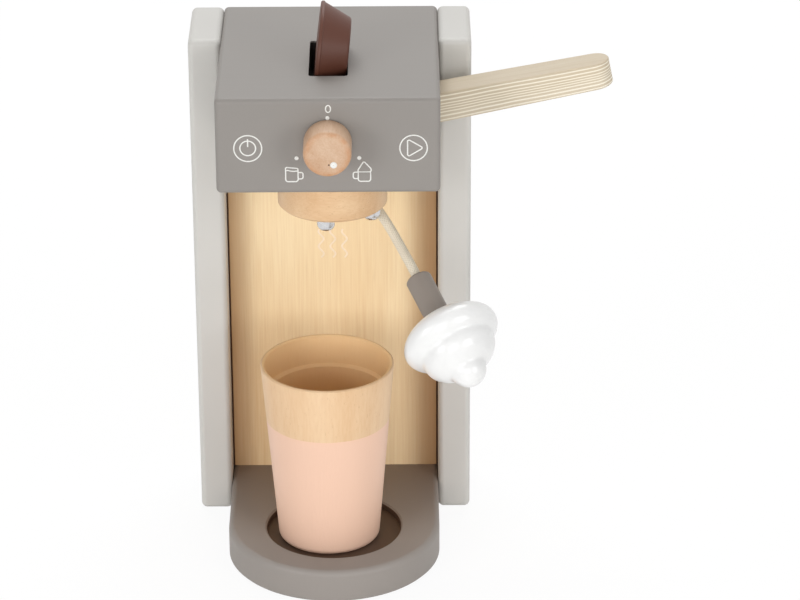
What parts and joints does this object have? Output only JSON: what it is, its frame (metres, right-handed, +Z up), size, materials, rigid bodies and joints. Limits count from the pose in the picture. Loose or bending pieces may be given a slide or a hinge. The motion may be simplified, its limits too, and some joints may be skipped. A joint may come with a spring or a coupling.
{
  "type": "toy coffee maker",
  "caption": "Wooden toy coffee maker: posts and a head on a round-nosed base, with a capsule in a top slot, a side lever, a dial, a cup and a cream dollop hanging on a cord",
  "frame": {"origin": "on the floor, midway between the posts, in the plane of the posts' front faces", "axes": "+X to the right seen from the front, where the lever is, +Y to the back, +Z up"},
  "size_m": [0.1758, 0.1523, 0.244],
  "materials": {
    "post_wood": "matt light grey paint on wood",
    "body_wood": "matt taupe grey paint on wood",
    "panel_plywood": "clear matt, upright grain",
    "lever_plywood": "clear matt, layered edge",
    "beech": "clear matt",
    "cup_wood": "clear matt above, pink paint below",
    "capsule_paint": "satin brown paint",
    "cream_paint": "gloss white paint",
    "ferrule_paint": "satin grey-brown paint",
    "cord_braid": "braided cord",
    "steel": "bright"
  },
  "bodies": {
    "frame": {"left_post": "post_wood", "right_post": "post_wood", "base_plate": "body_wood", "rear_panel": "panel_plywood", "head_front_board": "body_wood", "head_top_board": "body_wood", "head_left_board": "body_wood", "head_right_board": "body_wood", "head_floor": "body_wood", "head_rear_board": "body_wood", "capsule_shelf": "body_wood", "front_lever_bearer": "beech", "rear_lever_bearer": "beech", "lever_pin": "steel", "brew_head": "beech", "brew_head_screw": "steel", "brew_studs": "steel", "cord_knot": "cord_braid", "frame_dowels": "beech", "panel_dowels": "beech"},
    "lever": {"lever": "lever_plywood"},
    "dial": {"knob": "beech", "knob_washer": "steel", "knob_screw": "steel"},
    "capsule": {"capsule": "capsule_paint"},
    "cup": {"cup": "cup_wood"},
    "cream": {"cream_cord": "cord_braid", "cream_ferrule": "ferrule_paint", "cream_dollop": "cream_paint"}
  },
  "joints": [
    {"name": "lever_hinge", "type": "hinge", "parent": "frame", "child": "lever", "pos_m": [0.024, -0.018, 0.1954], "axis": [0, 1, 0], "range_deg": [0, 18.5]},
    {"name": "knob_turn", "type": "hinge", "parent": "frame", "child": "dial", "pos_m": [0, -0.0655, 0.2016], "axis": [0, 1, 0], "continuous": true},
    {"name": "capsule_lift", "type": "slide", "parent": "frame", "child": "capsule", "axis": [0, 0, 1], "range_m": [0, 0.04]},
    {"name": "cup_lift", "type": "slide", "parent": "frame", "child": "cup", "axis": [0, 0, 1], "range_m": [0, 0.03]},
    {"name": "cream_swing", "type": "hinge", "parent": "frame", "child": "cream", "pos_m": [0.0186, -0.0405, 0.1629], "axis": [0, 1, 0], "range_deg": [-25, 60]}
  ]
}
